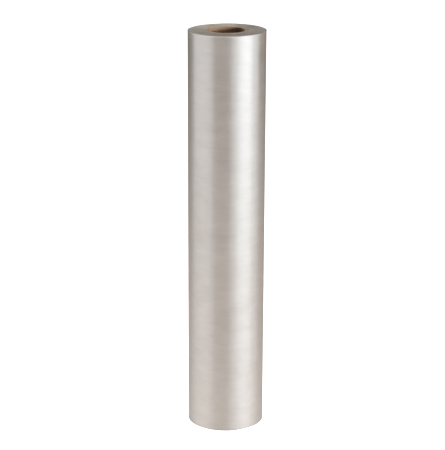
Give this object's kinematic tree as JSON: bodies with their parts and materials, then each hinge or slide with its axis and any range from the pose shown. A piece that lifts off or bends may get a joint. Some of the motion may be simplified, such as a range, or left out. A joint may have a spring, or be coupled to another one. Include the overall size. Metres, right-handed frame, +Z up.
{
  "type": "foil tape roll",
  "caption": "Tall roll of silver metal foil tape with its release liner, wound on a spiral paperboard core and standing on end, with a free tail that lifts and peels.",
  "frame": {"origin": "centre of the core's bore at the roll's foot, on the surface it stands on", "axes": "+Z up along the bore, -Y towards the side that is seen first, tail behind at +Y"},
  "size_m": [0.058, 0.058, 0.3048],
  "materials": {
    "silver_foil": "satin, lightly brushed along the tape",
    "release_paper": "smooth kraft, silicone coated on the foil side",
    "core_liner_board": "matt brown kraft board",
    "core_body_board": "matt grey-brown chipboard",
    "start_tape": "double-sided adhesive film"
  },
  "bodies": {
    "roll": {"core_liner_ply": "core_liner_board", "core_body_ply_1": "core_body_board", "core_body_ply_2": "core_body_board", "core_body_ply_3": "core_body_board", "core_wrap_ply": "core_body_board", "core_start_tape": "start_tape", "foil_web": "silver_foil", "release_liner_web": "release_paper"},
    "liner_tail": {"release_liner_tail": "release_paper"},
    "foil_tail": {"foil_tail": "silver_foil"}
  },
  "joints": [
    {"name": "tail_lift", "type": "hinge", "parent": "roll", "child": "liner_tail", "pos_m": [0.01864, 0.02222, 0.1524], "axis": [0, 0, -1], "range_deg": [0, 90]},
    {"name": "foil_peel", "type": "hinge", "parent": "liner_tail", "child": "foil_tail", "pos_m": [0.01864, 0.02222, 0.1524], "axis": [0, 0, -1], "range_deg": [0, 60]}
  ]
}
